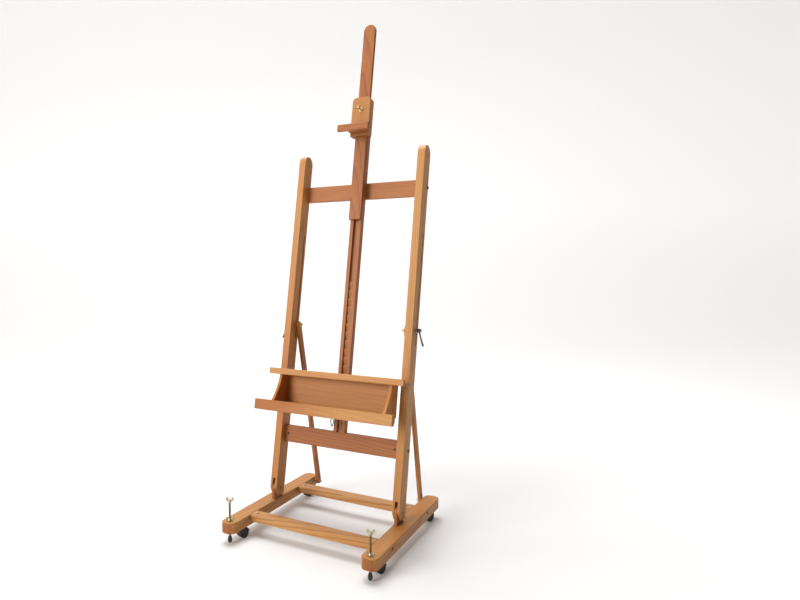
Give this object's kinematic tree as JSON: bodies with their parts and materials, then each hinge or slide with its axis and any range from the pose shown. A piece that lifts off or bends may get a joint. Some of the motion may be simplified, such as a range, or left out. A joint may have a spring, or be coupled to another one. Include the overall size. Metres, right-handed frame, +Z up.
{
  "type": "wooden artist easel",
  "caption": "Convertible H-frame studio easel in oiled wood: castored base, tilting frame on slotted struts, sliding canvas tray and top clamp on a mast.",
  "frame": {"origin": "on the floor under the centre of the outline", "axes": "+Z up, +X to the right seen from the front, +Y to the back; the frame leans back from vertical towards +Y"},
  "size_m": [0.656, 0.674, 2.1161],
  "materials": {
    "beech_frame": "oiled beech, honey",
    "beech_light": "oiled beech, pale",
    "beech_red": "oiled beech, reddish",
    "beech_bar": "oiled beech, orange-brown",
    "beech_straw": "oiled beech, straw",
    "zinc_steel": "zinc plated",
    "brass": "pale satin brass",
    "lever_metal": "dark coated",
    "castor_black": "moulded black",
    "foot_rubber": "matt"
  },
  "bodies": {
    "base": {"runner_right": "beech_frame", "runner_left": "beech_frame", "front_rail": "beech_light", "rear_rail": "beech_light", "hinge_tongues": "beech_frame", "pivot_pins": "zinc_steel", "strut_pivot_bolts": "zinc_steel", "strut_spacers": "zinc_steel", "rail_fasteners": "zinc_steel", "levelling_inserts": "brass", "castor_plates": "zinc_steel"},
    "frame": {"post_right": "beech_frame", "post_left": "beech_frame", "lower_crossbar": "beech_red", "upper_crossbar": "beech_red", "crossbar_fasteners": "zinc_steel", "mast": "beech_red", "ratchet_rack": "beech_light", "mast_fittings": "brass", "pivot_plugs": "beech_frame"},
    "bar": {"extension_bar": "beech_bar"},
    "top_clamp": {"clamp_block": "beech_straw", "clamp_lip": "beech_light", "clamp_insert": "brass"},
    "clamp_screw": {"clamp_screw": "brass"},
    "thumb_screw_lower": {"thumb_screw_lower": "brass"},
    "thumb_screw_upper": {"thumb_screw_upper": "brass"},
    "tray": {"canvas_ledge": "beech_light", "tray_back_board": "beech_red", "tray_brackets": "beech_frame", "tray_bottom": "beech_frame", "tray_lip": "beech_light", "carriage_front": "beech_frame", "carriage_cheeks": "beech_frame", "carriage_keeper": "beech_frame", "pawl_pin": "zinc_steel"},
    "pawl": {"pawl": "zinc_steel", "release_wire": "zinc_steel"},
    "strut_right": {"strut_right": "beech_frame", "strut_top_nut_right": "brass"},
    "slot_bolt_right": {"slot_bolt_right": "zinc_steel"},
    "lever_right": {"lever_nut_right": "lever_metal"},
    "levelling_foot_right": {"levelling_foot_right": "foot_rubber"},
    "levelling_screw_right": {"levelling_screw_right": "zinc_steel"},
    "lock_nut_right": {"lock_wing_nut_right": "brass"},
    "castor_front_right": {"castor_hood_front_right": "castor_black"},
    "wheels_front_right": {"castor_wheels_front_right": "castor_black"},
    "castor_rear_right": {"castor_hood_rear_right": "castor_black"},
    "wheels_rear_right": {"castor_wheels_rear_right": "castor_black"},
    "strut_left": {"strut_left": "beech_frame", "strut_top_nut_left": "brass"},
    "slot_bolt_left": {"slot_bolt_left": "zinc_steel"},
    "lever_left": {"lever_nut_left": "lever_metal"},
    "levelling_foot_left": {"levelling_foot_left": "foot_rubber"},
    "levelling_screw_left": {"levelling_screw_left": "zinc_steel"},
    "lock_nut_left": {"lock_wing_nut_left": "brass"},
    "castor_front_left": {"castor_hood_front_left": "castor_black"},
    "wheels_front_left": {"castor_wheels_front_left": "castor_black"},
    "castor_rear_left": {"castor_hood_rear_left": "castor_black"},
    "wheels_rear_left": {"castor_wheels_rear_left": "castor_black"}
  },
  "joints": [
    {"name": "frame_tilt", "type": "hinge", "parent": "base", "child": "frame", "pos_m": [0, -0.006, 0.132], "axis": [-1, 0, 0], "range_deg": [-10, 80]},
    {"name": "bar_slide", "type": "slide", "parent": "frame", "child": "bar", "axis": [0, 0.1736, 0.9848], "range_m": [-0.25, 0.28]},
    {"name": "top_clamp_slide", "type": "slide", "parent": "bar", "child": "top_clamp", "axis": [0, 0.1736, 0.9848], "range_m": [-0.28, 0.26]},
    {"name": "clamp_screw_turn", "type": "hinge", "parent": "top_clamp", "child": "clamp_screw", "pos_m": [0, 0.21587, 1.73584], "axis": [0, -0.9848, 0.1736], "range_deg": [-180, 180]},
    {"name": "thumb_screw_lower_turn", "type": "hinge", "parent": "frame", "child": "thumb_screw_lower", "pos_m": [0, 0.22451, 1.32408], "axis": [0, 0.9848, -0.1736], "range_deg": [-180, 180]},
    {"name": "thumb_screw_upper_turn", "type": "hinge", "parent": "frame", "child": "thumb_screw_upper", "pos_m": [0, 0.28737, 1.68058], "axis": [0, 0.9848, -0.1736], "range_deg": [-180, 180]},
    {"name": "tray_slide", "type": "slide", "parent": "frame", "child": "tray", "axis": [0, 0.1736, 0.9848], "range_m": [-0.04, 0.35]},
    {"name": "pawl_release", "type": "hinge", "parent": "tray", "child": "pawl", "pos_m": [0, 0.04874, 0.56914], "axis": [-1, 0, 0], "range_deg": [0, 5], "stiffness_Nm_per_rad": 0.05, "springref_deg": -5.73},
    {"name": "strut_pivot_right", "type": "hinge", "parent": "base", "child": "strut_right", "pos_m": [0.25, 0.31, 0.07], "axis": [-1, 0, 0], "range_deg": [-12.7, 100.19]},
    {"name": "slot_bolt_slide_right", "type": "slide", "parent": "frame", "child": "slot_bolt_right", "axis": [0, 0.1736, 0.9848], "range_m": [-0.0487, 0.3855]},
    {"name": "lever_turn_right", "type": "hinge", "parent": "slot_bolt_right", "child": "lever_right", "pos_m": [0.3, 0.12934, 0.81893], "axis": [1, 0, 0], "range_deg": [-60, 120]},
    {"name": "levelling_foot_slide_right", "type": "slide", "parent": "base", "child": "levelling_foot_right", "axis": [0, 0, 1], "range_m": [-0.01, 0.0125]},
    {"name": "levelling_screw_turn_right", "type": "hinge", "parent": "levelling_foot_right", "child": "levelling_screw_right", "pos_m": [0.2965, -0.313, 0.15], "axis": [0, 0, 1], "range_deg": [-2890, 3610]},
    {"name": "lock_nut_turn_right", "type": "hinge", "parent": "base", "child": "lock_nut_right", "pos_m": [0.2965, -0.313, 0.095], "axis": [0, 0, 1], "range_deg": [-180, 180]},
    {"name": "castor_swivel_front_right", "type": "hinge", "parent": "base", "child": "castor_front_right", "pos_m": [0.293, -0.253, 0.043], "axis": [0, 0, 1], "continuous": true},
    {"name": "castor_roll_front_right", "type": "hinge", "parent": "castor_front_right", "child": "wheels_front_right", "pos_m": [0.29733, -0.23969, 0.02], "axis": [-0.9511, 0.309, 0], "continuous": true},
    {"name": "castor_swivel_rear_right", "type": "hinge", "parent": "base", "child": "castor_rear_right", "pos_m": [0.293, 0.264, 0.043], "axis": [0, 0, 1], "continuous": true},
    {"name": "castor_roll_rear_right", "type": "hinge", "parent": "castor_rear_right", "child": "wheels_rear_right", "pos_m": [0.29733, 0.27731, 0.02], "axis": [-0.9511, 0.309, 0], "continuous": true},
    {"name": "strut_pivot_left", "type": "hinge", "parent": "base", "child": "strut_left", "pos_m": [-0.25, 0.31, 0.07], "axis": [-1, 0, 0], "range_deg": [-12.7, 100.19]},
    {"name": "slot_bolt_slide_left", "type": "slide", "parent": "frame", "child": "slot_bolt_left", "axis": [0, 0.1736, 0.9848], "range_m": [-0.0487, 0.3855]},
    {"name": "lever_turn_left", "type": "hinge", "parent": "slot_bolt_left", "child": "lever_left", "pos_m": [-0.3, 0.12934, 0.81893], "axis": [-1, 0, 0], "range_deg": [-60, 120]},
    {"name": "levelling_foot_slide_left", "type": "slide", "parent": "base", "child": "levelling_foot_left", "axis": [0, 0, 1], "range_m": [-0.01, 0.0125]},
    {"name": "levelling_screw_turn_left", "type": "hinge", "parent": "levelling_foot_left", "child": "levelling_screw_left", "pos_m": [-0.2965, -0.313, 0.15], "axis": [0, 0, 1], "range_deg": [-2890, 3610]},
    {"name": "lock_nut_turn_left", "type": "hinge", "parent": "base", "child": "lock_nut_left", "pos_m": [-0.2965, -0.313, 0.095], "axis": [0, 0, 1], "range_deg": [-180, 180]},
    {"name": "castor_swivel_front_left", "type": "hinge", "parent": "base", "child": "castor_front_left", "pos_m": [-0.293, -0.253, 0.043], "axis": [0, 0, 1], "continuous": true},
    {"name": "castor_roll_front_left", "type": "hinge", "parent": "castor_front_left", "child": "wheels_front_left", "pos_m": [-0.28867, -0.23969, 0.02], "axis": [-0.9511, 0.309, 0], "continuous": true},
    {"name": "castor_swivel_rear_left", "type": "hinge", "parent": "base", "child": "castor_rear_left", "pos_m": [-0.293, 0.264, 0.043], "axis": [0, 0, 1], "continuous": true},
    {"name": "castor_roll_rear_left", "type": "hinge", "parent": "castor_rear_left", "child": "wheels_rear_left", "pos_m": [-0.28867, 0.27731, 0.02], "axis": [-0.9511, 0.309, 0], "continuous": true}
  ],
  "couplings": [
    {"joint": "strut_pivot_right", "follows": "frame_tilt", "ratio": 1.2499},
    {"joint": "slot_bolt_slide_right", "follows": "frame_tilt", "m_per_rad": 0.27568},
    {"joint": "levelling_screw_turn_right", "follows": "levelling_foot_slide_right", "rad_per_m": 5026.5},
    {"joint": "strut_pivot_left", "follows": "frame_tilt", "ratio": 1.2499},
    {"joint": "slot_bolt_slide_left", "follows": "frame_tilt", "m_per_rad": 0.27568},
    {"joint": "levelling_screw_turn_left", "follows": "levelling_foot_slide_left", "rad_per_m": 5026.5}
  ]
}
